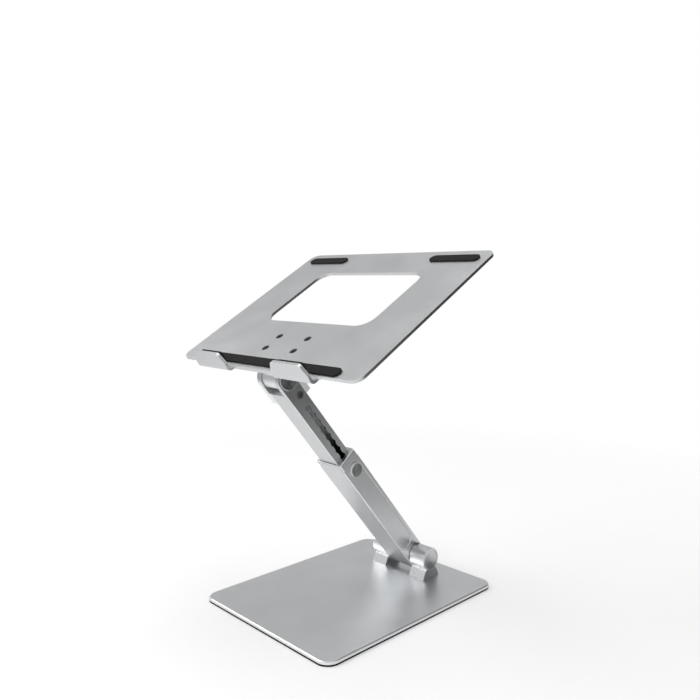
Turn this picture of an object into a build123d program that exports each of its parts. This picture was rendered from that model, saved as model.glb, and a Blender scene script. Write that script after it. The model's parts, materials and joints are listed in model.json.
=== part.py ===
"""Laptop stand: base plate, telescoping arm on a friction hinge, tilting tray with two front lips.

Millimetres. +X is the user's right, +Y points away from the user, +Z is up.
The origin is the centre of the base's underside.
"""
from build123d import *
import os
from math import cos, radians, sin

os.makedirs("parts", exist_ok=True)

# ---------------------------------------------------------------- driving dimensions
# base
base_width = 190.0
base_depth = 240.0
base_corner_radius = 13.0
plate_thickness = 3.0
plate_bevel = 0.8
pad_thickness = 1.7
hinge_from_rear = 36.5

# lower hinge
hinge_height = 19.7             # axis above the plate's top face
barrel_radius = 12.4
bracket_width = 20.4
foot_length = 25.6
foot_top_length = 17.6
foot_neck_length = 15.0
foot_drop = 11.2                # axis to the foot's ledges
foot_screw_cover = 1.5          # metal left above each screw hole
bracket_screw_pitch = 12.0
pin_radius = 4.0

# arm
arm_angle = 50.5                # above the horizontal, leaning towards the user
arm_reach = 276.3               # lower hinge axis to tray hinge axis, arm fully out
bar_width = 25.2
bar_depth = 19.6
bar_shift = 1.0                 # the bar stands this far in front of the sleeve's middle
bar_edge_radius = 0.8
bar_insert = 77.0               # bar inside the sleeve, arm fully out
liner_thickness = 0.8
liner_length = 50.0
liner_drop = 1.5                # sleeve's mouth to the liner's top
side_wall = 4.05                # sleeve's wall outside the liner
front_wall = 1.05
rear_wall = 3.05
sleeve_length = 166.5           # hinge axis to mouth, collar included
sleeve_floor = 24.0             # hinge axis to the bottom of the cavity
sleeve_edge_radius = 1.2
heel_drop = 12.0                # hinge axis to the sleeve's lower end
heel_chamfer = 5.0
heel_radius = 10.0
collar_length = 8.4
collar_edge_radius = 2.5
collar_gap = 0.35               # bar to collar
recess_half_width = 9.0
recess_depth = 1.0
recess_start = 19.0
guide_length = 14.0
guide_floor = 2.0

# length lock
lock_from_mouth = 18.3          # sleeve's mouth to the button's axis
notch_pitch = 10.0
notch_radius = 3.6
channel_half_width = 2.5
notch_depth = 2.3
groove_depth = 6.2
button_radius = 7.2
button_thickness = 3.2
button_proud = 2.4
button_travel = 2.6
button_edge = 0.35
button_skin = 0.8
boss_gap = 0.1                  # boss to bar, beyond the sliding clearance
boss_radius = 6.0
shaft_clearance = 0.2           # shaft to channel, disc to notch
stub_radius = 1.2
spring_wire = 0.35
spring_turns = 4

# head of the upper arm
head_length = 25.8              # shoulder to tray hinge axis
head_depth = 25.3
head_shift = 1.85                # the tray hinge axis stands this far behind the sleeve's middle
head_edge_radius = 1.2
ear_left = 5.0
ear_right = 4.8
head_overhang = 7.2             # how far the head stands out past the bar's left side
fork_depth = 11.3               # tray hinge axis to the fork's floor
clamp_screw_drop = 21.0         # tray hinge axis to the clamp screw
clamp_screw_radius = 2.5
clamp_bore_rim = 0.8            # screw's head to its bore, radial

# tray
tray_angle = 30.0
tray_width = 262.0
tray_front = 14.65               # hinge axis to the tray's front edge, outside the lips
tray_apron = 3.5                # how much further forward the edge stands between the lips
tray_rear = 198.55               # hinge axis to the tray's rear edge
tray_rise = 19.2                # hinge axis to the tray's underside
tray_thickness = 3.0
tray_corner_radius = 10.0
lip_pitch = 120.0
lip_base_width = 50.0
lip_top_width = 38.0
lip_height = 17.3               # above the tray's top face
lip_straight = 6.5              # upright part of the lip's sides, above the tray's top face
lip_reach = 10.1                # tray's front edge to the lip's outer face
lip_bend_radius = 2.0           # inside the bend
lip_corner_radius = 4.0
lip_root_radius = 3.0           # where the lip leaves the tray's front edge
vent_width = 150.0
vent_depth = 96.0
vent_start = 60.55
vent_corner_radius = 16.0
knuckle_radius = 10.9
knuckle_neck = 15.0
flange_width = 58.0
flange_front = 6.0
flange_rear = 40.0
flange_thickness = 3.0
flange_corner_radius = 2.5
tray_screw_pitch_x = 42.0
tray_screw_pitch_y = 20.0
tray_screw_start = 14.5
rest_pad_thickness = 1.5
rest_pad_width = 11.0
front_pad_inset = 26.0          # tray's side to the end of the front strip
front_pad_start = -12.95
rear_pad_length = 60.0
rear_pad_inset = 10.0
lip_pad_thickness = 4.5
lip_pad_corner_radius = 2.0

# shared fits
side_gap = 0.5                  # knuckle to bracket or ear, each side
washer_thickness = 0.4
washer_rim = 0.9                # knuckle's or barrel's edge to the washer
slide_clearance = 0.15          # bar to liner, guide to sleeve
running_clearance = 0.05        # pin in a bush, radial
part_clearance = 0.1            # pieces of one body, radial
press_clearance = 0.025         # bush in its bore, radial
bush_wall = 1.5
bush_flange_rim = 2.0
bush_flange_thickness = 0.8
bush_length = 10.0
cap_rim = 1.5                   # barrel's or head's edge to the cap
cap_thickness = 1.2
cap_recess = 1.0
cap_spigot = 1.5
cap_edge = 0.4
cap_dish = 0.25
m4_radius = 2.0
m4_head_radius = 3.6
m4_head_height = 1.8
m4_bore_radius = 4.0
m4_bore_depth = 2.0
m4_hex = 2.5
hex_depth = 1.0
hinge_bolt_head_height = 7.0
hinge_bolt_hex_depth = 3.5
hinge_nut_height = 6.0
disc_spring_stack = 2.0
bolt_bore_rim = 1.5             # bolt head to its bore, radial
bolt_bore_depth = 10.5
barrel_edge = 0.4

# ---------------------------------------------------------------- derived places
plate_top = pad_thickness + plate_thickness
hinge_y = base_depth / 2 - hinge_from_rear
hinge_z = plate_top + hinge_height
foot_height = hinge_height - foot_drop
cavity_width = bar_width + 2 * (slide_clearance + liner_thickness)
cavity_depth = bar_depth + 2 * (slide_clearance + liner_thickness)
sleeve_width = cavity_width + 2 * side_wall
sleeve_front = bar_shift + cavity_depth / 2 + front_wall
sleeve_rear = cavity_depth / 2 - bar_shift + rear_wall
sleeve_depth = sleeve_front + sleeve_rear
sleeve_middle = (sleeve_rear - sleeve_front) / 2
knuckle_half = sleeve_width / 2
bracket_inner = knuckle_half + side_gap
bracket_outer = bracket_inner + bracket_width
bracket_middle = (bracket_inner + bracket_outer) / 2
bolt_floor = bracket_outer - bolt_bore_depth

arm_up = Vector(0, -cos(radians(arm_angle)), sin(radians(arm_angle)))
arm_back = Vector(0, sin(radians(arm_angle)), cos(radians(arm_angle)))
hinge_point = Vector(0, hinge_y, hinge_z)
tray_point = hinge_point + arm_up * arm_reach + arm_back * head_shift
tray_back = Vector(0, cos(radians(tray_angle)), sin(radians(tray_angle)))
tray_up = Vector(0, -sin(radians(tray_angle)), cos(radians(tray_angle)))
across = Vector(1, 0, 0)

arm_plane = Plane(origin=hinge_point, x_dir=across, z_dir=arm_up)     # x, back, height along the arm
arm_side = Plane(origin=hinge_point, x_dir=arm_back, z_dir=across)    # back, up, x
tray_plane = Plane(origin=tray_point, x_dir=across, z_dir=tray_up)    # x, tray back, height above axis
tray_side = Plane(origin=tray_point, x_dir=tray_back, z_dir=across)   # tray back, tray up, x
head_side = Plane(origin=tray_point, x_dir=arm_back, z_dir=across)    # back, up, x from the tray axis
bracket_side = Plane(origin=hinge_point, x_dir=Vector(0, 1, 0), z_dir=across)

pin_bore = pin_radius + running_clearance
seat_bore = pin_radius + part_clearance
bush_radius = pin_radius + bush_wall
bush_flange_radius = bush_radius + bush_flange_rim
bolt_head_radius = 1.625 * pin_radius
bolt_hex = 1.5 * pin_radius
nut_flats = 3.25 * pin_radius
disc_spring_radius = 1.8 * pin_radius
bolt_bore_radius = bolt_head_radius + bolt_bore_rim
cap_radius = min(barrel_radius, head_depth / 2) - cap_rim
washer_radius = min(barrel_radius, knuckle_radius) - washer_rim

clamp_head_radius = 1.4 * clamp_screw_radius
clamp_hex = 1.6 * clamp_screw_radius
clamp_bore_radius = clamp_head_radius + clamp_bore_rim
bar_half = bar_width / 2
bar_end = sleeve_length - bar_insert
collar_start = sleeve_length - collar_length
liner_top = sleeve_length - liner_drop
liner_bottom = liner_top - liner_length
head_left = -bar_half - head_overhang
head_right = bar_half
fork_left = head_left + ear_left
fork_right = head_right - ear_right
head_middle = (fork_left + fork_right) / 2
tray_knuckle_half = (fork_right - fork_left) / 2 - side_gap
head_shoulder = arm_reach - head_length
tray_top = tray_rise + tray_thickness
vent_middle = vent_start + vent_depth / 2
lip_places = [head_middle - lip_pitch / 2, head_middle + lip_pitch / 2]

lock_height = sleeve_length - lock_from_mouth
notch_count = int((head_shoulder - lock_height - notch_radius) / notch_pitch) + 1
recess_floor = knuckle_half - recess_depth
button_face = knuckle_half + button_proud
button_back = button_face - button_thickness
button_well = button_back - button_travel - part_clearance
boss_face = bar_half + slide_clearance + boss_gap
lock_disc_radius = notch_radius - shaft_clearance
lock_disc_top = boss_face - part_clearance
shaft_radius = channel_half_width - shaft_clearance
spring_coil_radius = 0.6 * button_radius
spring_space_radius = spring_coil_radius + 1.3
spring_hub_radius = spring_coil_radius - 1.3


def finish(builder, name):
    """Name a finished piece after its file and write it."""
    builder.part.label = name
    export_step(builder.part, "parts/" + name + ".step")


# ================================================================ base
screw_places = [(side * bracket_middle, hinge_y + end * bracket_screw_pitch / 2)
                for side in (-1, 1) for end in (-1, 1)]
underside = Plane(origin=(0, 0, pad_thickness), x_dir=(1, 0, 0), z_dir=(0, 0, -1))
# the underside plane looks down, so its own y runs against +Y
screw_places_below = [(x, -y) for x, y in screw_places]

with BuildPart() as base_plate:
    with BuildSketch(Plane.XY.offset(pad_thickness)):
        RectangleRounded(base_width, base_depth, base_corner_radius)
    extrude(amount=plate_thickness)
    chamfer(base_plate.faces().sort_by(Axis.Z)[-1].edges(), plate_bevel)
    with Locations(underside):
        with Locations(*screw_places_below):
            CounterBoreHole(m4_radius + part_clearance, m4_bore_radius, m4_bore_depth)
finish(base_plate, "base_plate")

with BuildPart() as base_pad:
    with BuildSketch(Plane.XY):
        RectangleRounded(base_width, base_depth, base_corner_radius)
    extrude(amount=pad_thickness)
finish(base_pad, "base_pad")

base_screw_head = pad_thickness + m4_bore_depth
base_screw_tip = plate_top + foot_height - foot_screw_cover
with BuildPart() as base_screws:
    with BuildSketch(Plane.XY.offset(base_screw_head)):
        with Locations(*screw_places):
            Circle(m4_head_radius)
    extrude(amount=-m4_head_height)
    with BuildSketch(Plane.XY.offset(base_screw_head)):
        with Locations(*screw_places):
            Circle(m4_radius)
    extrude(amount=base_screw_tip - base_screw_head - part_clearance)
    with BuildSketch(Plane.XY.offset(base_screw_head - m4_head_height)):
        with Locations(*screw_places):
            RegularPolygon(m4_hex / 2, 6, major_radius=False)
    extrude(amount=hex_depth, mode=Mode.SUBTRACT)
finish(base_screws, "base_screws")

# hinge bracket: a barrel on a short neck over a foot with sloping ends
with BuildPart() as right_hinge_bracket:
    with BuildSketch(bracket_side.offset(bracket_inner)):
        Circle(barrel_radius)
        with BuildLine():
            Polyline(
                (-foot_length / 2, -hinge_height),
                (-foot_top_length / 2, foot_height - hinge_height),
                (-foot_neck_length / 2, foot_height - hinge_height),
                (-foot_neck_length / 2, 0),
                (foot_neck_length / 2, 0),
                (foot_neck_length / 2, foot_height - hinge_height),
                (foot_top_length / 2, foot_height - hinge_height),
                (foot_length / 2, -hinge_height),
                close=True,
            )
        make_face()
    extrude(amount=bracket_width)
    end_edges = right_hinge_bracket.faces().sort_by(Axis.X)[-1].edges().filter_by(GeomType.CIRCLE)
    chamfer(end_edges, barrel_edge)
    with BuildSketch(bracket_side.offset(bracket_inner)):
        Circle(seat_bore)
    extrude(amount=bracket_width, mode=Mode.SUBTRACT)
    with BuildSketch(bracket_side.offset(bolt_floor)):
        Circle(bolt_bore_radius)
    extrude(amount=bolt_bore_depth, mode=Mode.SUBTRACT)
    with BuildSketch(bracket_side.offset(bracket_outer - cap_recess)):
        Circle(cap_radius + part_clearance)
    extrude(amount=cap_recess, mode=Mode.SUBTRACT)
    with BuildSketch(Plane.XY.offset(plate_top)):
        with Locations(*[place for place in screw_places if place[0] > 0]):
            Circle(m4_radius + part_clearance)
    extrude(amount=foot_height - foot_screw_cover, mode=Mode.SUBTRACT)
finish(right_hinge_bracket, "right_hinge_bracket")

with BuildPart() as left_hinge_bracket:
    mirror(right_hinge_bracket.part, about=Plane.YZ)
finish(left_hinge_bracket, "left_hinge_bracket")

# hinge bolt: head in the left bracket, nut and disc springs in the right one
bolt_tip = bolt_floor + disc_spring_stack + hinge_nut_height
with BuildPart() as base_hinge_bolt:
    with BuildSketch(bracket_side.offset(-bolt_floor)):
        Circle(bolt_head_radius)
    extrude(amount=-hinge_bolt_head_height)
    with BuildSketch(bracket_side.offset(-bolt_floor)):
        Circle(pin_radius)
    extrude(amount=bolt_floor + bolt_tip)
    with BuildSketch(bracket_side.offset(-bolt_floor - hinge_bolt_head_height)):
        RegularPolygon(bolt_hex / 2, 6, major_radius=False)
    extrude(amount=hinge_bolt_hex_depth, mode=Mode.SUBTRACT)
finish(base_hinge_bolt, "base_hinge_bolt")

with BuildPart() as base_disc_springs:
    with BuildSketch(bracket_side.offset(bolt_floor)):
        Circle(disc_spring_radius)
        Circle(seat_bore, mode=Mode.SUBTRACT)
    extrude(amount=disc_spring_stack)
finish(base_disc_springs, "base_disc_springs")

with BuildPart() as base_hinge_nut:
    with BuildSketch(bracket_side.offset(bolt_floor + disc_spring_stack)):
        RegularPolygon(nut_flats / 2, 6, major_radius=False)
        Circle(seat_bore, mode=Mode.SUBTRACT)
    extrude(amount=hinge_nut_height)
finish(base_hinge_nut, "base_hinge_nut")

with BuildPart() as base_friction_washers:
    for face in (-bracket_inner, bracket_inner - washer_thickness):
        with BuildSketch(bracket_side.offset(face)):
            Circle(washer_radius)
            Circle(seat_bore, mode=Mode.SUBTRACT)
        extrude(amount=washer_thickness)
finish(base_friction_washers, "base_friction_washers")

# end cap: a shallow dished disc with a spigot that plugs the bolt's bore
with BuildPart() as right_base_cap:
    with BuildSketch(bracket_side.offset(bracket_outer - cap_recess)):
        Circle(cap_radius)
    extrude(amount=cap_thickness)
    chamfer(right_base_cap.faces().sort_by(Axis.X)[-1].edges(), cap_edge)
    with BuildSketch(bracket_side.offset(bracket_outer - cap_recess)):
        Circle(bolt_bore_radius - part_clearance)
    extrude(amount=-cap_spigot)
    with BuildSketch(bracket_side.offset(bracket_outer - cap_recess + cap_thickness)):
        Circle(cap_radius - 2 * cap_edge)
    extrude(amount=-cap_dish, mode=Mode.SUBTRACT)
finish(right_base_cap, "right_base_cap")

with BuildPart() as left_base_cap:
    mirror(right_base_cap.part, about=Plane.YZ)
finish(left_base_cap, "left_base_cap")

# ================================================================ lower arm
# sleeve: rectangular tube whose lower end turns on the hinge, long recess in each side
with BuildPart() as lower_sleeve:
    with BuildSketch(arm_plane.offset(-heel_drop)):
        with Locations((0, sleeve_middle)):
            RectangleRounded(sleeve_width, sleeve_depth, sleeve_edge_radius)
    extrude(amount=collar_start + heel_drop)
    # lower end: chamfered in front, rounded behind, so that it clears the base as it turns
    with BuildSketch(arm_side.offset(-knuckle_half)):
        with BuildLine():
            Polyline(
                (-sleeve_front, -heel_drop + heel_chamfer),
                (-sleeve_front + heel_chamfer, -heel_drop),
                (-sleeve_front, -heel_drop),
                (-sleeve_front, -heel_drop + heel_chamfer),
            )
        make_face()
        with BuildLine():
            Polyline(
                (sleeve_rear - heel_radius, -heel_drop),
                (sleeve_rear, -heel_drop),
                (sleeve_rear, -heel_drop + heel_radius),
            )
            RadiusArc(
                (sleeve_rear, -heel_drop + heel_radius),
                (sleeve_rear - heel_radius, -heel_drop),
                heel_radius,
            )
        make_face()
    extrude(amount=sleeve_width, mode=Mode.SUBTRACT)
    with BuildSketch(arm_plane.offset(sleeve_floor)):
        with Locations((0, -bar_shift)):
            Rectangle(cavity_width, cavity_depth)
    extrude(amount=sleeve_length, mode=Mode.SUBTRACT)
    recess_low = recess_start + recess_half_width
    for side in (-1, 1):
        with BuildSketch(arm_side.offset(side * sleeve_width / 2)):
            with Locations((0, (recess_low + lock_height) / 2)):
                SlotCenterToCenter(lock_height - recess_low, 2 * recess_half_width, rotation=90)
        extrude(amount=-side * recess_depth, mode=Mode.SUBTRACT)
    # boss that carries the button's bore in through the liner
    with BuildSketch(arm_side.offset(boss_face)):
        with Locations((0, lock_height)):
            Circle(boss_radius)
    extrude(amount=recess_floor - boss_face)
    with BuildSketch(arm_side.offset(button_well)):
        with Locations((0, lock_height)):
            Circle(button_radius + part_clearance)
    extrude(amount=recess_floor - button_well, mode=Mode.SUBTRACT)
    with BuildSketch(arm_side.offset(boss_face)):
        with Locations((0, lock_height)):
            Circle(shaft_radius + part_clearance)
    extrude(amount=recess_floor - boss_face, mode=Mode.SUBTRACT)
    # bore and flange recesses for the two bushes
    with BuildSketch(arm_side.offset(-knuckle_half)):
        Circle(bush_radius)
    extrude(amount=sleeve_width, mode=Mode.SUBTRACT)
    for side in (-1, 1):
        with BuildSketch(arm_side.offset(side * knuckle_half)):
            Circle(bush_flange_radius + part_clearance)
        extrude(amount=-side * bush_flange_thickness, mode=Mode.SUBTRACT)
finish(lower_sleeve, "lower_sleeve")

with BuildPart() as base_bushes:
    for side in (-1, 1):
        with BuildSketch(arm_side.offset(side * knuckle_half)):
            Circle(bush_flange_radius)
            Circle(pin_bore, mode=Mode.SUBTRACT)
        extrude(amount=-side * bush_flange_thickness)
        with BuildSketch(arm_side.offset(side * knuckle_half)):
            Circle(bush_radius - press_clearance)
            Circle(pin_bore, mode=Mode.SUBTRACT)
        extrude(amount=-side * bush_length)
finish(base_bushes, "base_bushes")

# collar: bezel round the mouth, softer edges than the sleeve
with BuildPart() as sleeve_collar:
    with BuildSketch(arm_plane.offset(collar_start)):
        with Locations((0, sleeve_middle)):
            RectangleRounded(sleeve_width, sleeve_depth, collar_edge_radius)
    extrude(amount=collar_length)
    mouth_edges = sleeve_collar.faces().sort_by(Axis(hinge_point, arm_up))[-1].edges()
    fillet(mouth_edges, sleeve_edge_radius)
    # wide below for the liner, close to the bar at the mouth
    with BuildSketch(arm_plane.offset(collar_start)):
        with Locations((0, -bar_shift)):
            Rectangle(cavity_width, cavity_depth)
    extrude(amount=liner_top - collar_start, mode=Mode.SUBTRACT)
    with BuildSketch(arm_plane.offset(liner_top)):
        with Locations((0, -bar_shift)):
            Rectangle(bar_width + 2 * collar_gap, bar_depth + 2 * collar_gap)
    extrude(amount=liner_drop, mode=Mode.SUBTRACT)
finish(sleeve_collar, "sleeve_collar")

with BuildPart() as sleeve_liner:
    with BuildSketch(arm_plane.offset(liner_bottom)):
        with Locations((0, -bar_shift)):
            Rectangle(cavity_width, cavity_depth)
            Rectangle(bar_width + 2 * slide_clearance, bar_depth + 2 * slide_clearance, mode=Mode.SUBTRACT)
    extrude(amount=liner_length)
    with BuildSketch(arm_side):
        with Locations((0, lock_height)):
            Circle(boss_radius + part_clearance)
    extrude(amount=sleeve_width, mode=Mode.SUBTRACT)
finish(sleeve_liner, "sleeve_liner")

# ================================================================ lock button
with BuildPart() as lock_button:
    with BuildSketch(arm_side.offset(button_back)):
        with Locations((0, lock_height)):
            Circle(button_radius)
    extrude(amount=button_thickness)
    chamfer(lock_button.faces().sort_by(Axis.X)[-1].edges(), button_edge)
    with BuildSketch(arm_side.offset(button_back)):
        with Locations((0, lock_height)):
            Circle(spring_space_radius)
            Circle(spring_hub_radius, mode=Mode.SUBTRACT)
    extrude(amount=button_thickness - button_skin, mode=Mode.SUBTRACT)
    with BuildSketch(arm_side.offset(button_back)):
        with Locations((0, lock_height)):
            Circle(stub_radius + part_clearance)
    extrude(amount=button_thickness - button_skin, mode=Mode.SUBTRACT)
finish(lock_button, "lock_button")

# plunger: thin shaft that slides in the groove, and a disc that fills one notch
with BuildPart() as lock_plunger:
    with BuildSketch(arm_side.offset(lock_disc_top)):
        with Locations((0, lock_height)):
            Circle(lock_disc_radius)
    extrude(amount=-notch_depth)
    with BuildSketch(arm_side.offset(lock_disc_top)):
        with Locations((0, lock_height)):
            Circle(shaft_radius)
    extrude(amount=button_back - lock_disc_top)
    with BuildSketch(arm_side.offset(button_back)):
        with Locations((0, lock_height)):
            Circle(stub_radius)
    extrude(amount=button_thickness - button_skin - part_clearance)
finish(lock_plunger, "lock_plunger")

# return spring, between the well's floor and the hollow of the button
spring_length = button_back + button_thickness - button_skin - button_well
spring_rise = spring_length - spring_wire
spring_pitch = spring_rise / spring_turns
spring_start = button_well + spring_wire / 2
spring_centre = hinge_point + arm_up * lock_height + across * spring_start
with BuildPart() as lock_spring:
    with BuildLine() as coil:
        Helix(spring_pitch, spring_rise, spring_coil_radius, center=spring_centre, direction=across)
    with BuildSketch(Plane(origin=coil.line @ 0, z_dir=coil.line % 0)):
        Circle(spring_wire / 2)
    sweep(is_frenet=True)
finish(lock_spring, "lock_spring")

# ================================================================ upper arm
with BuildPart() as upper_arm:
    # head: rounded over the tray hinge axis
    with BuildSketch(head_side.offset(head_left)):
        Circle(head_depth / 2)
        with Locations((0, -head_length / 2)):
            Rectangle(head_depth, head_length)
    extrude(amount=head_right - head_left)
    shoulder = upper_arm.faces().sort_by(Axis(hinge_point, arm_up))[0]
    fillet(shoulder.edges(), head_edge_radius)
    with BuildSketch(arm_plane.offset(bar_end)):
        with Locations((0, -bar_shift)):
            RectangleRounded(bar_width, bar_depth, bar_edge_radius)
    extrude(amount=head_shoulder + head_edge_radius - bar_end)
    # fork for the tray's knuckle
    with BuildSketch(head_side.offset(fork_left)):
        with Locations((0, (head_depth - fork_depth) / 2)):
            Rectangle(2 * head_depth, head_depth + fork_depth)
    extrude(amount=fork_right - fork_left, mode=Mode.SUBTRACT)
    # pin bore and a shallow seat for each cap
    with BuildSketch(head_side.offset(head_left)):
        Circle(seat_bore)
    extrude(amount=head_right - head_left, mode=Mode.SUBTRACT)
    for face, inward in ((head_left, 1), (head_right, -1)):
        with BuildSketch(head_side.offset(face)):
            Circle(cap_radius + part_clearance)
        extrude(amount=inward * cap_recess, mode=Mode.SUBTRACT)
    # clamp screw: counterbore on the right, plain hole to the left
    with BuildSketch(head_side.offset(head_left)):
        with Locations((0, -clamp_screw_drop)):
            Circle(clamp_screw_radius + part_clearance)
    extrude(amount=head_right - head_left, mode=Mode.SUBTRACT)
    with BuildSketch(head_side.offset(head_right)):
        with Locations((0, -clamp_screw_drop)):
            Circle(clamp_bore_radius)
    extrude(amount=-ear_right, mode=Mode.SUBTRACT)
    # groove: a notched mouth over a wider plain channel
    notches = [lock_height + step * notch_pitch for step in range(notch_count)]
    groove_middle = (notches[0] + notches[-1]) / 2
    groove_length = notches[-1] - notches[0]
    with BuildSketch(arm_side.offset(bar_half)):
        with Locations((0, groove_middle)):
            SlotCenterToCenter(groove_length, 2 * channel_half_width, rotation=90)
        with Locations(*[(0, height) for height in notches]):
            Circle(notch_radius)
    extrude(amount=-notch_depth, mode=Mode.SUBTRACT)
    with BuildSketch(arm_side.offset(bar_half - notch_depth)):
        with Locations((0, groove_middle)):
            SlotCenterToCenter(groove_length, 2 * notch_radius, rotation=90)
    extrude(amount=notch_depth - groove_depth, mode=Mode.SUBTRACT)
finish(upper_arm, "upper_arm")

# guide: plastic shoe over the bar's lower end
with BuildPart() as arm_guide:
    with BuildSketch(arm_plane.offset(bar_end - guide_floor)):
        with Locations((0, -bar_shift)):
            Rectangle(cavity_width - 2 * slide_clearance, cavity_depth - 2 * slide_clearance)
    extrude(amount=guide_length)
    with BuildSketch(arm_plane.offset(bar_end)):
        with Locations((0, -bar_shift)):
            RectangleRounded(bar_width, bar_depth, bar_edge_radius)
    extrude(amount=guide_length, mode=Mode.SUBTRACT)
finish(arm_guide, "arm_guide")

pin_left = head_left + cap_recess
pin_right = head_right - cap_recess
with BuildPart() as tray_hinge_pin:
    with BuildSketch(head_side.offset(pin_left)):
        Circle(pin_radius)
    extrude(amount=pin_right - pin_left)
finish(tray_hinge_pin, "tray_hinge_pin")

for name, seat, outward in (("right_tray_cap", pin_right, 1), ("left_tray_cap", pin_left, -1)):
    with BuildPart() as tray_cap:
        with BuildSketch(head_side.offset(seat)):
            Circle(cap_radius)
        extrude(amount=outward * cap_thickness)
        outer_face = tray_cap.faces().sort_by(Axis.X)[-1 if outward > 0 else 0]
        chamfer(outer_face.edges(), cap_edge)
        with BuildSketch(head_side.offset(seat + outward * cap_thickness)):
            Circle(cap_radius - 2 * cap_edge)
        extrude(amount=-outward * cap_dish, mode=Mode.SUBTRACT)
    finish(tray_cap, name)

with BuildPart() as tray_friction_washers:
    for face in (fork_left, fork_right - washer_thickness):
        with BuildSketch(head_side.offset(face)):
            Circle(washer_radius)
            Circle(seat_bore, mode=Mode.SUBTRACT)
        extrude(amount=washer_thickness)
finish(tray_friction_washers, "tray_friction_washers")

clamp_seat = head_right - ear_right
with BuildPart() as head_clamp_screw:
    with BuildSketch(head_side.offset(clamp_seat)):
        with Locations((0, -clamp_screw_drop)):
            Circle(clamp_head_radius)
    extrude(amount=ear_right - part_clearance)
    with BuildSketch(head_side.offset(clamp_seat)):
        with Locations((0, -clamp_screw_drop)):
            Circle(clamp_screw_radius)
    extrude(amount=head_left - clamp_seat + part_clearance)
    with BuildSketch(head_side.offset(head_right - part_clearance)):
        with Locations((0, -clamp_screw_drop)):
            RegularPolygon(clamp_hex / 2, 6, major_radius=False)
    extrude(amount=-ear_right / 2, mode=Mode.SUBTRACT)
finish(head_clamp_screw, "head_clamp_screw")

# ================================================================ tray
tray_middle_back = (tray_rear - tray_front) / 2
tray_length = tray_rear + tray_front
tray_screw_middle = tray_screw_start + tray_screw_pitch_y / 2
lip_outer_bend = lip_bend_radius + tray_thickness
lip_slope = (lip_base_width - lip_top_width) / 2
lip_face = -tray_front - lip_reach
bend_start = lip_face + lip_outer_bend
apron_width = lip_pitch - lip_base_width

with BuildPart() as tray_plate:
    with BuildSketch(tray_plane.offset(tray_rise)) as outline:
        with Locations((head_middle, tray_middle_back)):
            RectangleRounded(tray_width, tray_length, tray_corner_radius)
        with Locations((head_middle, -tray_front)):
            Rectangle(apron_width, 2 * tray_apron)
        # flat root of each lip
        for place in lip_places:
            with Locations((place, -tray_front)):
                Rectangle(lip_base_width, -2 * (tray_front + bend_start))
        corners = outline.vertices().group_by(Axis(tray_point, tray_back))
        # inner corners where the lips leave the tray's front edge
        lip_roots = [corner for corner in corners[2] if abs(corner.X - head_middle) < lip_pitch]
        fillet(lip_roots, lip_root_radius)
        with Locations((head_middle, vent_middle)):
            RectangleRounded(vent_width, vent_depth, vent_corner_radius, mode=Mode.SUBTRACT)
    extrude(amount=tray_thickness)
    # lips: round the bend and up
    for place in lip_places:
        with BuildSketch(tray_side.offset(place - lip_base_width / 2)):
            with BuildLine():
                RadiusArc((bend_start, tray_rise), (lip_face, tray_rise + lip_outer_bend), lip_outer_bend)
                Polyline(
                    (lip_face, tray_rise + lip_outer_bend),
                    (lip_face, tray_top + lip_height),
                    (lip_face + tray_thickness, tray_top + lip_height),
                    (lip_face + tray_thickness, tray_rise + lip_outer_bend),
                )
                RadiusArc(
                    (lip_face + tray_thickness, tray_rise + lip_outer_bend),
                    (bend_start, tray_top),
                    -lip_bend_radius,
                )
                Line((bend_start, tray_top), (bend_start, tray_rise))
            make_face()
        extrude(amount=lip_base_width)
    # slanted sides of the lips, cut from the front
    lip_front = Plane(
        origin=tray_point + tray_back * lip_face + tray_up * (tray_top + lip_straight),
        x_dir=across,
        z_dir=tray_back * -1,
    )
    lip_rise = lip_height - lip_straight
    for place in lip_places:
        for side in (-1, 1):
            with BuildSketch(lip_front):
                with BuildLine():
                    Polyline(
                        (place + side * lip_base_width / 2, 0),
                        (place + side * (lip_base_width / 2 - lip_slope), lip_rise),
                        (place + side * lip_base_width / 2, lip_rise),
                        close=True,
                    )
                make_face()
            extrude(amount=-tray_thickness, mode=Mode.SUBTRACT)
    short_edges = tray_plate.edges().filter_by(Axis(tray_point, tray_back))
    lip_tops = short_edges.group_by(Axis(tray_point, tray_up))[-1]
    fillet(lip_tops, lip_corner_radius)
    with Locations(tray_plane.offset(tray_top)):
        with Locations((head_middle, tray_screw_middle)):
            with GridLocations(tray_screw_pitch_x, tray_screw_pitch_y, 2, 2):
                CounterBoreHole(m4_radius + part_clearance, m4_bore_radius, m4_bore_depth)
finish(tray_plate, "tray_plate")

# knuckle: barrel between the ears, neck up to a flange under the plate
with BuildPart() as tray_knuckle:
    with BuildSketch(tray_side.offset(head_middle - tray_knuckle_half)):
        Circle(knuckle_radius)
        with Locations((0, tray_rise / 2)):
            Rectangle(knuckle_neck, tray_rise)
    extrude(amount=2 * tray_knuckle_half)
    with BuildSketch(tray_plane.offset(tray_rise)):
        with Locations((head_middle, (flange_rear - flange_front) / 2)):
            RectangleRounded(flange_width, flange_rear + flange_front, flange_corner_radius)
    extrude(amount=-flange_thickness)
    with BuildSketch(tray_side.offset(head_middle - tray_knuckle_half)):
        Circle(bush_radius)
    extrude(amount=2 * tray_knuckle_half, mode=Mode.SUBTRACT)
    with BuildSketch(tray_plane.offset(tray_rise)):
        with Locations((head_middle, tray_screw_middle)):
            with GridLocations(tray_screw_pitch_x, tray_screw_pitch_y, 2, 2):
                Circle(m4_radius + part_clearance)
    extrude(amount=-flange_thickness, mode=Mode.SUBTRACT)
finish(tray_knuckle, "tray_knuckle")

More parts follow.
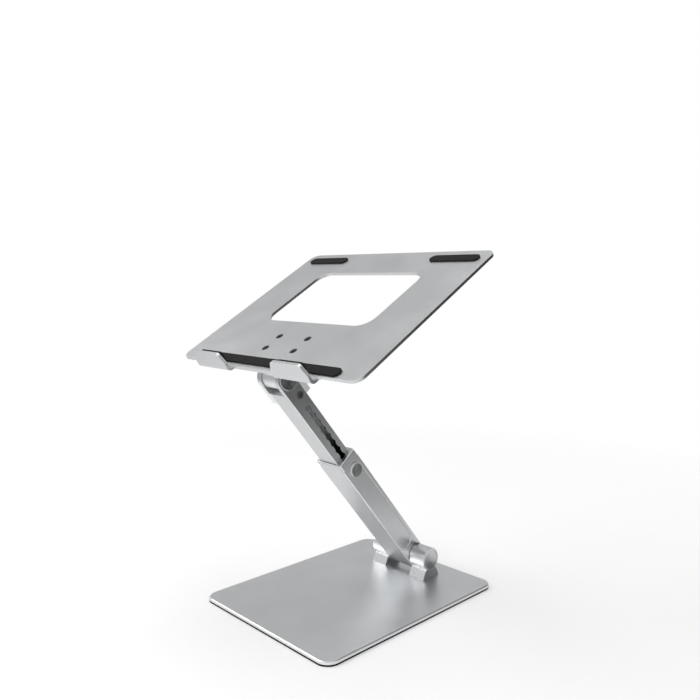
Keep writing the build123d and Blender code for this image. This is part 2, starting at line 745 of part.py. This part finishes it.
with BuildPart() as tray_bush:
    with BuildSketch(tray_side.offset(head_middle - tray_knuckle_half)):
        Circle(bush_radius - press_clearance)
        Circle(pin_bore, mode=Mode.SUBTRACT)
    extrude(amount=2 * tray_knuckle_half)
finish(tray_bush, "tray_bush")

screw_seat = tray_top - m4_bore_depth
with BuildPart() as tray_screws:
    with BuildSketch(tray_plane.offset(screw_seat)):
        with Locations((head_middle, tray_screw_middle)):
            with GridLocations(tray_screw_pitch_x, tray_screw_pitch_y, 2, 2):
                Circle(m4_head_radius)
    extrude(amount=m4_head_height)
    with BuildSketch(tray_plane.offset(screw_seat)):
        with Locations((head_middle, tray_screw_middle)):
            with GridLocations(tray_screw_pitch_x, tray_screw_pitch_y, 2, 2):
                Circle(m4_radius)
    extrude(amount=tray_rise - flange_thickness - screw_seat)
    with BuildSketch(tray_plane.offset(screw_seat + m4_head_height)):
        with Locations((head_middle, tray_screw_middle)):
            with GridLocations(tray_screw_pitch_x, tray_screw_pitch_y, 2, 2):
                RegularPolygon(m4_hex / 2, 6, major_radius=False)
    extrude(amount=-hex_depth, mode=Mode.SUBTRACT)
finish(tray_screws, "tray_screws")

front_pad_length = tray_width - 2 * front_pad_inset
with BuildPart() as front_tray_pad:
    with BuildSketch(tray_plane.offset(tray_top)):
        with Locations((head_middle, front_pad_start + rest_pad_width / 2)):
            SlotOverall(front_pad_length, rest_pad_width)
    extrude(amount=rest_pad_thickness)
finish(front_tray_pad, "front_tray_pad")

rear_pad_pitch = tray_width - rear_pad_length - 2 * rear_pad_inset
with BuildPart() as rear_tray_pads:
    with BuildSketch(tray_plane.offset(tray_top)):
        with Locations((head_middle, tray_rear - rear_pad_inset - rest_pad_width / 2)):
            with GridLocations(rear_pad_pitch, rest_pad_width, 2, 1):
                SlotOverall(rear_pad_length, rest_pad_width)
    extrude(amount=rest_pad_thickness)
finish(rear_tray_pads, "rear_tray_pads")

lip_pad_base = tray_top + lip_bend_radius
lip_pad_top = tray_top + lip_height - lip_corner_radius / 2
lip_pad_width = lip_top_width - lip_corner_radius
with BuildPart() as lip_pads:
    lip_back = Plane(
        origin=tray_point + tray_back * (lip_face + tray_thickness),
        x_dir=across,
        z_dir=tray_back * -1,
    )
    with BuildSketch(lip_back):
        for place in lip_places:
            with Locations((place, (lip_pad_base + lip_pad_top) / 2)):
                RectangleRounded(lip_pad_width, lip_pad_top - lip_pad_base, lip_pad_corner_radius)
    extrude(amount=-lip_pad_thickness)
finish(lip_pads, "lip_pads")
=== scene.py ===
"""Looks for the laptop stand: materials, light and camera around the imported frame. Metres throughout."""
import json
from math import cos, radians, sin, tau

import bpy
from mathutils import Euler, Matrix, Vector


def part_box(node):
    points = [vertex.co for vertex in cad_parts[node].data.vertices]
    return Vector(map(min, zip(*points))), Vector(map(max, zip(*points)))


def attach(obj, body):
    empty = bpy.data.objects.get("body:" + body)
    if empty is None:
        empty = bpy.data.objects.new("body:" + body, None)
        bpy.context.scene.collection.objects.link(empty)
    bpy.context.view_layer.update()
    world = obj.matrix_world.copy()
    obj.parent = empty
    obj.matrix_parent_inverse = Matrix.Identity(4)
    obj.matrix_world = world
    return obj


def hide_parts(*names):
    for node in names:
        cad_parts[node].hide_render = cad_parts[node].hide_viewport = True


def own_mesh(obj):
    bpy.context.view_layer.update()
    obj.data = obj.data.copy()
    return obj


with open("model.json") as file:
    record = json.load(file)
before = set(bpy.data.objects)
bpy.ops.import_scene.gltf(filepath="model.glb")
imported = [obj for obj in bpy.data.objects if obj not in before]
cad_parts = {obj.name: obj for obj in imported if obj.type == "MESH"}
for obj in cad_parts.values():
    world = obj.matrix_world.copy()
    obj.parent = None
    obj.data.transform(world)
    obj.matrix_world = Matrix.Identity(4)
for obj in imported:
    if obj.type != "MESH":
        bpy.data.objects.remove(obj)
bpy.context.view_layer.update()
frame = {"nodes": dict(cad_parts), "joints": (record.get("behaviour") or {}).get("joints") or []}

nodes = frame["nodes"]
joints = {joint["name"]: joint for joint in frame["joints"]}
hinge = Vector(joints["base_hinge"]["pos_m"])
tray_axis = Vector(joints["tray_hinge"]["pos_m"])
arm_up = Vector(joints["telescope"]["axis"])
arm_back = arm_up.cross(Vector((1, 0, 0)))
scene = bpy.context.scene
MM = 0.001

# sizes on the arm that the painted edge highlights and the painted shade in the groove follow; front and rear
# are measured from the arm's middle line
sleeve_section = {"half_width": 17.6 * MM, "front": 12.8 * MM, "rear": 12.8 * MM, "radius": 1.2 * MM}
sleeve_recess_highlight = {"face": sleeve_section["half_width"], "depth": 1.0 * MM, "start": 18 * MM}
bar_section = {"half_width": 12.6 * MM, "front": 10.8 * MM, "rear": 8.8 * MM, "radius": 0.8 * MM}
# painted shade in the notched groove: full up to dark_from, down to 0.3 by dark_to
bar_slot_shade_sizes = {"face": bar_section["half_width"], "depth": 6.2 * MM, "half_width": 3.8 * MM,
            "dark_from": 180 * MM, "dark_to": 212 * MM}
# radii beyond which the spun caps and the button get a painted highlight
cap_rim = 10.4 * MM
button_rim = 6.85 * MM
button_axis = hinge + arm_up * 148.2 * MM
spring_wire_radius = 0.175 * MM
spring_turns = 4


# ---------------------------------------------------------------- node helpers
class Tree:
    """A material's node tree with short calls for the nodes used here."""

    def __init__(self, name):
        self.material = bpy.data.materials.new(name)
        self.material.use_nodes = True
        self.tree = self.material.node_tree
        self.shader = self.tree.nodes["Principled BSDF"]
        self.coords = self.tree.nodes.new("ShaderNodeTexCoord")

    def node(self, kind, **settings):
        made = self.tree.nodes.new("ShaderNode" + kind)
        for key, value in settings.items():
            setattr(made, key, value)
        return made

    def link(self, out, into):
        self.tree.links.new(out, into)

    def feed(self, socket, value):
        """Links a socket, or sets a plain value."""
        if isinstance(value, bpy.types.NodeSocket):
            self.link(value, socket)
        else:
            socket.default_value = value

    def mapped(self, rotation=(0, 0, 0), scale=(1, 1, 1), location=(0, 0, 0)):
        made = self.node("Mapping", vector_type="POINT")
        self.link(self.coords.outputs["Object"], made.inputs["Vector"])
        made.inputs["Location"].default_value = location
        made.inputs["Rotation"].default_value = rotation
        made.inputs["Scale"].default_value = scale
        return made.outputs["Vector"]

    def noise(self, vector, scale, detail=2.0, rough=0.5, distortion=0.0):
        made = self.node("TexNoise", noise_dimensions="3D")
        self.link(vector, made.inputs["Vector"])
        made.inputs["Scale"].default_value = scale
        made.inputs["Detail"].default_value = detail
        made.inputs["Roughness"].default_value = rough
        made.inputs["Distortion"].default_value = distortion
        return made.outputs["Fac"]

    def noise_along(self, value, scale, detail=3.0, rough=0.6):
        """Noise of one number, such as a radius: rings or bands."""
        made = self.node("TexNoise", noise_dimensions="1D")
        self.link(value, made.inputs["W"])
        made.inputs["Scale"].default_value = scale
        made.inputs["Detail"].default_value = detail
        made.inputs["Roughness"].default_value = rough
        return made.outputs["Fac"]

    def spread(self, value, low, high, from_low=0.0, from_high=1.0):
        made = self.node("MapRange", clamp=True)
        self.link(value, made.inputs["Value"])
        made.inputs["From Min"].default_value = from_low
        made.inputs["From Max"].default_value = from_high
        made.inputs["To Min"].default_value = low
        made.inputs["To Max"].default_value = high
        return made.outputs["Result"]

    def vary(self, noise, low, high):
        """Spreads the middle of a noise's range, where nearly all of it lies, from low to high."""
        return self.spread(noise, low, high, from_low=0.3, from_high=0.7)

    def shades(self, noise, value, dark, light, tint=0.0):
        """Greys round value, from dark times it to light times it."""
        return self.mix(self.vary(noise, 0.0, 1.0), grey(value * dark, tint), grey(value * light, tint))

    def math(self, operation, a, b=0.0):
        made = self.node("Math", operation=operation)
        self.feed(made.inputs[0], a)
        self.feed(made.inputs[1], b)
        return made.outputs["Value"]

    def mix(self, share, a, b):
        made = self.node("MixRGB")
        self.feed(made.inputs["Fac"], share)
        self.feed(made.inputs["Color1"], a)
        self.feed(made.inputs["Color2"], b)
        return made.outputs["Color"]

    def bump(self, height, distance, strength=1.0, normal=None):
        made = self.node("Bump")
        made.inputs["Strength"].default_value = strength
        made.inputs["Distance"].default_value = distance
        self.link(height, made.inputs["Height"])
        if normal is not None:
            self.link(normal, made.inputs["Normal"])
        return made.outputs["Normal"]

    def edge(self, radius, samples=4):
        """How much a rounded edge turns away from the face it is on: 0 on a flat, more near an edge."""
        bevel = self.node("Bevel", samples=samples)
        bevel.inputs["Radius"].default_value = radius
        geometry = self.node("NewGeometry")
        product = self.node("VectorMath", operation="DOT_PRODUCT")
        self.link(bevel.outputs["Normal"], product.inputs[0])
        self.link(geometry.outputs["Normal"], product.inputs[1])
        turned = self.math("SUBTRACT", 1.0, product.outputs["Value"])
        return self.spread(turned, 0.0, 1.0, from_low=0.005, from_high=0.12)

    def along(self, direction, origin):
        """Distance from a point, measured along a direction."""
        offset = self.node("VectorMath", operation="SUBTRACT")
        self.link(self.coords.outputs["Object"], offset.inputs[0])
        offset.inputs[1].default_value = origin
        product = self.node("VectorMath", operation="DOT_PRODUCT")
        self.link(offset.outputs["Vector"], product.inputs[0])
        product.inputs[1].default_value = direction
        return product.outputs["Value"]

    def distance_from(self, centre, plane="YZ"):
        """Radius from a line through centre, along X for plane YZ."""
        parts = self.node("SeparateXYZ")
        self.link(self.coords.outputs["Object"], parts.inputs["Vector"])
        first = self.math("SUBTRACT", parts.outputs[plane[0]], centre["XYZ".index(plane[0])])
        second = self.math("SUBTRACT", parts.outputs[plane[1]], centre["XYZ".index(plane[1])])
        total = self.math("ADD", self.math("MULTIPLY", first, first), self.math("MULTIPLY", second, second))
        return self.math("SQRT", total)


def paint_edge_highlights(t, painted_edge_highlight, colour, value, tint):
    """Painted highlight along edges: a pale, less metallic colour there catches light from all round, so the
    edges read as thin pale lines.
    """
    t.link(t.mix(painted_edge_highlight, colour, grey(value, tint)), t.shader.inputs["Base Color"])
    t.link(t.spread(painted_edge_highlight, 1.0, 0.25), t.shader.inputs["Metallic"])


def grey(value, tint=0.0):
    """A neutral grey, a little cooler with tint."""
    return (value * (1 - tint), value, value * (1 + tint), 1.0)


def blasted(name, value, rough, tint=0.012, grain=0.05 * MM, seed=0.0):
    """Bead-blasted and anodised aluminium: fine even grain, faint cloudy sheen, painted highlights along the
    edges.
    """
    t = Tree(name)
    place = t.mapped(location=(seed, seed * 1.7, seed * 0.3))
    fine = t.noise(place, scale=2600.0, detail=2.0, rough=0.7)
    cloud = t.noise(place, scale=22.0, detail=3.0, rough=0.55)
    # painted highlight: the bevel mask marks the edges that get a pale colour
    painted_edge_highlight = t.edge(0.5 * MM)
    colour = t.shades(cloud, value, 0.965, 1.02, tint)
    colour = t.mix(t.spread(fine, 0.0, 0.35, from_low=0.35, from_high=0.65), colour, grey(value * 0.9, tint))
    paint_edge_highlights(t, painted_edge_highlight, colour, value=0.88, tint=tint)
    roughness = t.math("ADD", t.vary(fine, -0.03, 0.03), t.vary(cloud, rough - 0.02, rough + 0.03))
    roughness = t.math("SUBTRACT", roughness, t.math("MULTIPLY", painted_edge_highlight, 0.1))
    t.link(roughness, t.shader.inputs["Roughness"])
    t.link(t.bump(fine, grain), t.shader.inputs["Normal"])
    return t.material


def corner_highlight_mask(t, half_width, front, rear, radius):
    """Mask for a painted highlight: 1 on the rounded long corners of a rectangular bar along the arm, 0 on
    its faces.
    """
    x = t.math("ABSOLUTE", t.along(Vector((1, 0, 0)), hinge))
    n = t.along(arm_back, hinge + arm_back * (rear - front) / 2)
    past_x = t.math("SUBTRACT", x, half_width - radius)
    past_n = t.math("SUBTRACT", t.math("ABSOLUTE", n), (front + rear) / 2 - radius)
    return t.spread(t.math("MINIMUM", past_x, past_n), 0.0, 1.0, 0.05 * radius, 0.3 * radius)


def recess_wall_highlight_mask(t, face, depth, start):
    """Mask for a painted highlight: 1 on the low walls round the sleeve's side recesses."""
    x = t.math("ABSOLUTE", t.along(Vector((1, 0, 0)), hinge))
    over_floor = t.spread(x, 0.0, 1.0, face - depth + 0.05 * MM, face - depth + 0.15 * MM)
    under_face = t.spread(x, 1.0, 0.0, face - 0.2 * MM, face - 0.1 * MM)
    above_hinge = t.spread(t.along(arm_up, hinge), 0.0, 1.0, start - 1 * MM, start)
    return t.math("MULTIPLY", t.math("MULTIPLY", over_floor, under_face), above_hinge)


def painted_slot_shade_mask(t, face, depth, half_width, dark_from, dark_to):
    """Mask of the painted shade in the notched groove, fading out up the arm."""
    x = t.along(Vector((1, 0, 0)), hinge)
    n = t.math("ABSOLUTE", t.along(arm_back, hinge))
    s = t.along(arm_up, hinge)
    below = t.spread(x, 1.0, 0.0, face - 0.3 * MM, face - 0.05 * MM)
    above = t.spread(x, 0.0, 1.0, face - depth - 0.2 * MM, face - depth - 0.1 * MM)
    between = t.spread(n, 1.0, 0.0, half_width, half_width + 0.2 * MM)
    fade = t.spread(s, 1.0, 0.3, dark_from, dark_to)
    return t.math("MULTIPLY", t.math("MULTIPLY", below, above), t.math("MULTIPLY", between, fade))


def drawn(name, value, rough, section, tint=0.012, seed=0.0, slot_shade_sizes=None, recess_highlight=None):
    """Extruded and anodised aluminium: faint lines along the arm over a fine grain."""
    t = Tree(name)
    turn = arm_up.to_track_quat("Z", "Y").to_euler("XYZ")
    back = Euler(turn).to_matrix().inverted().to_euler("XYZ")
    lines_place = t.mapped(rotation=tuple(back), scale=(1.0, 1.0, 0.012), location=(seed, 0.0, seed))
    lines = t.noise(lines_place, scale=1500.0, detail=3.0, rough=0.65)
    place = t.mapped(location=(seed, seed, seed))
    fine = t.noise(place, scale=2400.0, detail=2.0, rough=0.7)
    cloud = t.noise(place, scale=28.0, detail=3.0, rough=0.55)
    # painted highlight along the edges and the rounded long corners
    painted_edge_highlight = t.math("MAXIMUM", t.edge(0.45 * MM), corner_highlight_mask(t, **section))
    colour = t.shades(cloud, value, 0.96, 1.02, tint)
    colour = t.mix(t.spread(lines, 0.0, 0.4, from_low=0.35, from_high=0.65), colour, grey(value * 0.92, tint))
    # painted highlight on the low walls round the sleeve's side recesses
    if recess_highlight:
        painted_edge_highlight = t.math("MAXIMUM", painted_edge_highlight, recess_wall_highlight_mask(t, **recess_highlight))
    # painted shade: near-black colour in the notched groove, with no painted edge highlight there
    if slot_shade_sizes:
        slot_painted_shade = painted_slot_shade_mask(t, **slot_shade_sizes)
        colour = t.mix(slot_painted_shade, colour, grey(0.03, tint))
        painted_edge_highlight = t.math("MULTIPLY", painted_edge_highlight, t.math("SUBTRACT", 1.0, slot_painted_shade))
    paint_edge_highlights(t, painted_edge_highlight, colour, value=0.88, tint=tint)
    roughness = t.math("ADD", t.vary(lines, -0.04, 0.04), t.vary(cloud, rough - 0.015, rough + 0.025))
    roughness = t.math("SUBTRACT", roughness, t.math("MULTIPLY", painted_edge_highlight, 0.1))
    t.link(roughness, t.shader.inputs["Roughness"])
    grain = t.bump(fine, 0.02 * MM)
    t.link(t.bump(lines, 0.03 * MM, normal=grain), t.shader.inputs["Normal"])
    return t.material


def spun(name, value, rough, centre, rim, tint=0.01):
    """Turned aluminium: rings round an axis along X, fan-shaped gloss across them and a painted highlight on
    the rim.
    """
    t = Tree(name)
    radius = t.distance_from(centre)
    rings = t.noise_along(radius, scale=5200.0, detail=4.0, rough=0.7)
    bands = t.noise_along(radius, scale=700.0, detail=2.0, rough=0.5)
    colour = t.mix(t.vary(rings, 0.0, 0.5), grey(value, tint), grey(value * 0.86, tint))
    # painted highlight: pale colour beyond the given radius
    paint_edge_highlights(t, t.spread(radius, 0.0, 1.0, rim, rim + 0.15 * MM), colour, value=0.85, tint=tint)
    t.link(t.math("ADD", t.vary(rings, -0.05, 0.05), t.vary(bands, rough - 0.02, rough + 0.03)),
           t.shader.inputs["Roughness"])
    t.shader.inputs["Anisotropic"].default_value = 0.82
    tangent = t.node("Tangent", direction_type="RADIAL", axis="X")
    t.link(tangent.outputs["Tangent"], t.shader.inputs["Tangent"])
    t.link(t.bump(rings, 0.02 * MM), t.shader.inputs["Normal"])
    return t.material


def rubber(name, value):
    """Matte black rubber with a fine pebbled skin and a little dust."""
    t = Tree(name)
    place = t.mapped()
    pebble = t.node("TexVoronoi", feature="SMOOTH_F1")
    t.link(place, pebble.inputs["Vector"])
    pebble.inputs["Scale"].default_value = 900.0
    dust = t.noise(place, scale=60.0, detail=4.0, rough=0.6)
    colour = t.mix(t.spread(dust, 0.0, 0.7, from_low=0.45, from_high=0.75), grey(value), grey(value * 1.7))
    t.link(colour, t.shader.inputs["Base Color"])
    t.link(t.vary(dust, 0.7, 0.88), t.shader.inputs["Roughness"])
    t.shader.inputs["Specular IOR Level"].default_value = 0.2
    t.link(t.bump(pebble.outputs["Distance"], distance=0.25 * MM, strength=0.5), t.shader.inputs["Normal"])
    return t.material


def moulded(name, value, rough):
    """Moulded nylon: soft gloss and a faint texture."""
    t = Tree(name)
    place = t.mapped()
    skin = t.noise(place, scale=1400.0, detail=2.0, rough=0.6)
    cloud = t.noise(place, scale=45.0, detail=3.0, rough=0.5)
    t.link(t.shades(cloud, value, 0.9, 1.15), t.shader.inputs["Base Color"])
    t.link(t.vary(cloud, rough - 0.05, rough + 0.06), t.shader.inputs["Roughness"])
    t.link(t.bump(skin, 0.06 * MM), t.shader.inputs["Normal"])
    return t.material


def machined(name, value, rough, metal=1.0):
    """Machined or blackened steel with small tool marks and a painted highlight along the edges."""
    t = Tree(name)
    place = t.mapped()
    marks = t.noise(place, scale=1800.0, detail=3.0, rough=0.65, distortion=0.5)
    cloud = t.noise(place, scale=90.0, detail=3.0, rough=0.5)
    painted_edge_highlight = t.edge(0.25 * MM)
    colour = t.shades(cloud, value, 0.85, 1.1)
    # painted highlight: lighter colour along the edges
    colour = t.mix(t.math("MULTIPLY", painted_edge_highlight, 0.5), colour, grey(min(value * 1.5 + 0.08, 0.9)))
    t.link(colour, t.shader.inputs["Base Color"])
    t.shader.inputs["Metallic"].default_value = metal
    t.link(t.vary(marks, rough - 0.06, rough + 0.08), t.shader.inputs["Roughness"])
    t.link(t.bump(marks, 0.04 * MM), t.shader.inputs["Normal"])
    return t.material


base_metal = blasted("base_satin", 0.80, 0.38)
tray_metal = blasted("tray_satin", 0.70, 0.36, seed=3.0)
bracket_metal = blasted("bracket_satin", 0.82, 0.28, grain=0.015 * MM, seed=1.0)
sleeve_metal = drawn("sleeve_satin", 0.63, 0.32, sleeve_section, seed=5.0, recess_highlight=sleeve_recess_highlight)
bar_metal = drawn("bar_satin", 0.62, 0.32, bar_section, seed=9.0, slot_shade_sizes=bar_slot_shade_sizes)
knuckle_metal = blasted("knuckle_satin", 0.82, 0.34, seed=15.0)
base_cap_metal = spun("base_cap_spun", 0.60, 0.24, hinge, cap_rim)
tray_cap_metal = spun("tray_cap_spun", 0.60, 0.24, tray_axis, cap_rim)
button_metal = spun("button_spun", 0.30, 0.26, button_axis, button_rim)
pad_rubber = rubber("pad_rubber", 0.006)
rest_rubber = rubber("rest_rubber", 0.010)
nylon_black = moulded("nylon_black", 0.025, 0.42)
steel = machined("ground_steel", 0.55, 0.28)
spring_steel = machined("spring_steel", 0.50, 0.3)
black_oxide = machined("black_oxide", 0.05, 0.38, metal=0.85)
clamp_steel = machined("clamp_screw_steel", 0.30, 0.34)

materials = {
    base_metal: ["base_plate"],
    tray_metal: ["tray_plate"],
    bracket_metal: ["left_hinge_bracket", "right_hinge_bracket"],
    sleeve_metal: ["lower_sleeve", "sleeve_collar"],
    bar_metal: ["upper_arm"],
    knuckle_metal: ["tray_knuckle"],
    base_cap_metal: ["left_base_cap", "right_base_cap"],
    tray_cap_metal: ["left_tray_cap", "right_tray_cap"],
    button_metal: ["lock_button"],
    pad_rubber: ["base_pad"],
    rest_rubber: ["front_tray_pad", "rear_tray_pads", "lip_pads"],
    nylon_black: ["base_bushes", "tray_bush", "sleeve_liner", "arm_guide"],
    steel: ["base_hinge_bolt", "base_hinge_nut", "base_disc_springs", "base_friction_washers",
            "tray_friction_washers", "tray_hinge_pin", "lock_plunger"],
    black_oxide: ["base_screws", "tray_screws"],
    clamp_steel: ["head_clamp_screw"],
}
for material, names in materials.items():
    for name in names:
        node = nodes[name]
        node.data.materials.clear()
        node.data.materials.append(material)

# ---------------------------------------------------------------- return spring
def coil(name, low, high, wire, turns, around=14, per_turn=28):
    """A closed helical wire along X that fills the box from low to high."""
    centre = (low + high) / 2
    ring_radius = (high.z - low.z) / 2 - wire
    first, last = low.x + wire, high.x - wire
    steps = turns * per_turn
    points, faces = [], []
    for step in range(steps + 1):
        share = step / steps
        outward = Vector((0, cos(share * turns * tau), sin(share * turns * tau)))
        ring_centre = Vector((first + (last - first) * share, centre.y, centre.z)) + outward * ring_radius
        for side in range(around):
            angle = side * tau / around
            points.append(ring_centre + outward * wire * cos(angle) + Vector((1, 0, 0)) * wire * sin(angle))
    for step in range(steps):
        for side in range(around):
            next_side = (side + 1) % around
            a, b = step * around, (step + 1) * around
            faces.append((a + side, b + side, b + next_side, a + next_side))
    faces.append(tuple(range(around)))
    faces.append(tuple(steps * around + side for side in reversed(range(around))))
    mesh = bpy.data.meshes.new(name)
    mesh.from_pydata(points, [], faces)
    mesh.shade_smooth()
    made = bpy.data.objects.new(name, mesh)
    scene.collection.objects.link(made)
    return made


spring_low, spring_high = (Vector(corner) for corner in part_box("lock_spring"))
spring = coil("lock_spring_coil", spring_low, spring_high, spring_wire_radius, spring_turns)
spring.data.materials.append(spring_steel)
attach(spring, "lower_link")
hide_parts("lock_spring")
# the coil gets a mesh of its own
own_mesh(spring)

# ---------------------------------------------------------------- floor, light, camera
floor_half = 6.0
floor_solid_to, floor_gone_by = 0.2, 0.9
floor_corners = [(x * floor_half, y * floor_half, 0) for x, y in ((-1, -1), (1, -1), (1, 1), (-1, 1))]
floor_mesh = bpy.data.meshes.new("floor")
floor_mesh.from_pydata(floor_corners, [], [(0, 1, 2, 3)])
floor = bpy.data.objects.new("floor", floor_mesh)
scene.collection.objects.link(floor)
floor_tree = Tree("floor_paper")
floor_tree.shader.inputs["Base Color"].default_value = grey(0.92)
floor_tree.shader.inputs["Emission Color"].default_value = grey(1.0)
floor_tree.shader.inputs["Emission Strength"].default_value = 0.1
floor_tree.shader.inputs["Roughness"].default_value = 0.7
# the floor fades into the white surroundings away from the stand
fade = floor_tree.spread(floor_tree.distance_from((0, 0, 0), "XY"), 1.0, 0.0, floor_solid_to, floor_gone_by)
floor_tree.link(fade, floor_tree.shader.inputs["Alpha"])
floor_mesh.materials.append(floor_tree.material)


def softbox(name, place, target, size, power):
    """A rectangular lamp at place that faces target, with its power in watts."""
    data = bpy.data.lights.new(name, "AREA")
    data.shape = "RECTANGLE"
    data.size, data.size_y = size
    data.energy = power
    light = bpy.data.objects.new(name, data)
    light.location = place
    light.rotation_euler = (Vector(target) - Vector(place)).to_track_quat("-Z", "Y").to_euler()
    scene.collection.objects.link(light)


softbox("key_light", (-1.0, -0.9, 1.3), (0, 0, 0.15), (1.2, 1.0), 13.0)
softbox("top_light", (0.1, 0.3, 1.9), (0, 0, 0.1), (1.5, 1.5), 12.0)
softbox("front_light", (0.9, -1.8, 0.5), (0, 0, 0.12), (0.7, 1.0), 7.0)


def panel(name, corners, value):
    """A flat board off camera; it shows only in what the metal reflects."""
    mesh = bpy.data.meshes.new(name)
    mesh.from_pydata(corners, [], [(0, 1, 2, 3)])
    board = bpy.data.objects.new(name, mesh)
    scene.collection.objects.link(board)
    tree = Tree(name + "_paint")
    tree.shader.inputs["Base Color"].default_value = grey(value)
    tree.shader.inputs["Roughness"].default_value = 0.9
    mesh.materials.append(tree.material)
    board.visible_camera = False
    board.visible_shadow = False
    board.visible_diffuse = False


# a black flag behind the right side and a grey cloth in front of it darken the arm's right faces
flag_near, flag_far, flag_top, above_floor = (1.0, 0.1), (0.2, 1.0), 1.0, 0.002
cloth_near, cloth_far = (0.24, 0.1), (0.16, 0.24)
panel("dark_flag", [(*flag_near, above_floor), (*flag_far, above_floor),
                    (*flag_far, flag_top), (*flag_near, flag_top)], 0.02)
panel("dark_cloth", [(*cloth_near, above_floor), (*flag_near, above_floor),
                     (*flag_far, above_floor), (*cloth_far, above_floor)], 0.6)

world = bpy.data.worlds.new("studio")
scene.world = world
world.use_nodes = True
world.node_tree.nodes["Background"].inputs["Color"].default_value = grey(1.0)
# the surroundings look white to the camera and give a softer light to the stand
light_path = world.node_tree.nodes.new("ShaderNodeLightPath")
strength = world.node_tree.nodes.new("ShaderNodeMapRange")
light_strength, seen_strength = 0.5, 1.0
strength.inputs["To Min"].default_value = light_strength
strength.inputs["To Max"].default_value = seen_strength
world.node_tree.links.new(light_path.outputs["Is Camera Ray"], strength.inputs["Value"])
world.node_tree.links.new(strength.outputs["Result"], world.node_tree.nodes["Background"].inputs["Strength"])

azimuth, pitch, roll = radians(46.36), radians(5.99), radians(-0.25)
camera_place = (0.5367, -0.5126, 0.3360)
sensor_width, focal_to_width = 36.0, 731.7 / 700.0
camera_data = bpy.data.cameras.new("camera")
camera_data.sensor_width = sensor_width
camera_data.lens = focal_to_width * sensor_width
camera = bpy.data.objects.new("camera", camera_data)
camera.location = camera_place
look = Vector((-sin(azimuth) * cos(pitch), cos(azimuth) * cos(pitch), -sin(pitch)))
aim = look.to_track_quat("-Z", "Y").to_matrix()
camera.rotation_euler = (aim @ Matrix.Rotation(roll, 3, "Z")).to_euler()
scene.collection.objects.link(camera)
scene.camera = camera
scene.view_settings.view_transform = "Standard"
